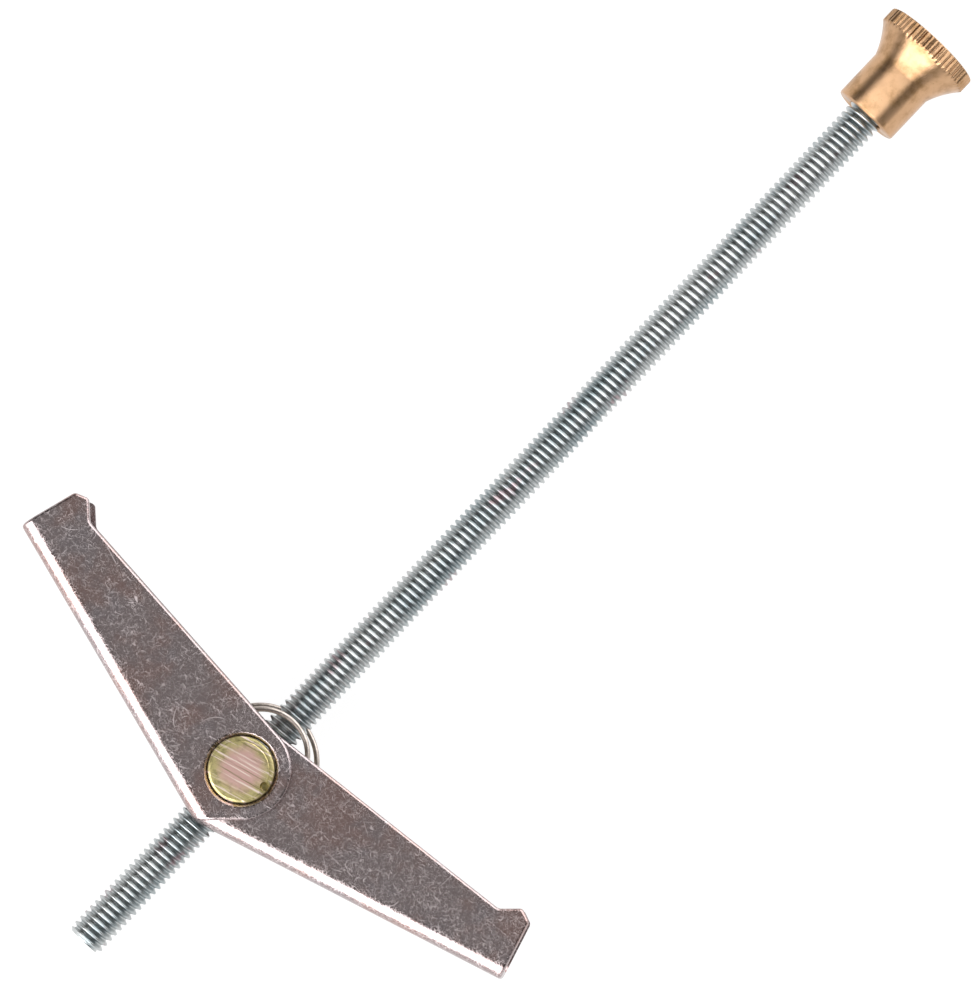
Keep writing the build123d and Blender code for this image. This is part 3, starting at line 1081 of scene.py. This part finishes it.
class TOGGLE_OT_pin(bpy.types.Operator):
    """Model the cross pin"""
    bl_idname = "toggle_bolt.pin"
    bl_label = "Cross Pin"

    def execute(self, context):
        s = settings()
        pin = finished_piece("cross_pin_barrel", pin_shape(s.pin), yellow_zinc(s.finishes),
                             ["cross_pin"], even_normals=True)
        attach(pin, "toggle")
        return {"FINISHED"}


class TOGGLE_OT_wings(bpy.types.Operator):
    """Model the two folding wings"""
    bl_idname = "toggle_bolt.wings"
    bl_label = "Wings"

    def execute(self, context):
        s = settings()
        zinc = dull_zinc(s.finishes)
        for side, turn in (("left", 0.0), ("right", math.pi)):
            shape = wing_shape(s.wing)
            bmesh.ops.transform(shape, matrix=Matrix.Rotation(turn, 4, "Y"), verts=shape.verts)
            wing = finished_piece(f"wing_{side}_folded", shape, zinc,
                                  [f"wing_{side}"], even_normals=True)
            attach(wing, f"wing_{side}")
        return {"FINISHED"}


class TOGGLE_OT_spring(bpy.types.Operator):
    """Model the wire spring in two halves shaped round the wings"""
    bl_idname = "toggle_bolt.spring"
    bl_label = "Spring"

    def execute(self, context):
        s = settings()
        line = SpringLine(s.spring, s.wing)
        wire = spring_wire(s.finishes)
        for side, paths, sign in (("left", line.left(), -1), ("right", line.right(), 1)):
            half = finished_piece(f"spring_{side}", spring_shape(paths, line.radius), wire,
                                  ["spring"])
            corner, _ = line.foot(line.near, sign)
            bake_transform(half)
        return {"FINISHED"}


class TOGGLE_PT_panel(bpy.types.Panel):
    """Lists the bolt's pieces"""
    bl_idname = "TOGGLE_PT_panel"
    bl_label = "Toggle Bolt"
    bl_space_type = "VIEW_3D"
    bl_region_type = "UI"
    bl_category = "Toggle Bolt"

    def draw(self, context):
        for operator in OPERATORS:
            self.layout.operator(operator.bl_idname)


GROUPS = (RodSizes, NutSizes, PinSizes, WingSizes, SpringSizes, Finishes, StageSettings,
          ToggleBoltSettings)
OPERATORS = (TOGGLE_OT_stage, TOGGLE_OT_rod, TOGGLE_OT_nut, TOGGLE_OT_pin, TOGGLE_OT_wings,
             TOGGLE_OT_spring)


def register():
    for cls in (*GROUPS, *OPERATORS, TOGGLE_PT_panel):
        bpy.utils.register_class(cls)
    bpy.types.Scene.toggle_bolt = PointerProperty(
        type=ToggleBoltSettings, name="Toggle Bolt", description="Sizes and colours of the bolt")


def unregister():
    del bpy.types.Scene.toggle_bolt
    for cls in reversed((*GROUPS, *OPERATORS, TOGGLE_PT_panel)):
        bpy.utils.unregister_class(cls)


def main():
    register()
    bpy.ops.toggle_bolt.stage()
    bpy.ops.toggle_bolt.rod()
    bpy.ops.toggle_bolt.nut()
    bpy.ops.toggle_bolt.pin()
    bpy.ops.toggle_bolt.wings()
    bpy.ops.toggle_bolt.spring()


if __name__ == "__main__":
    main()
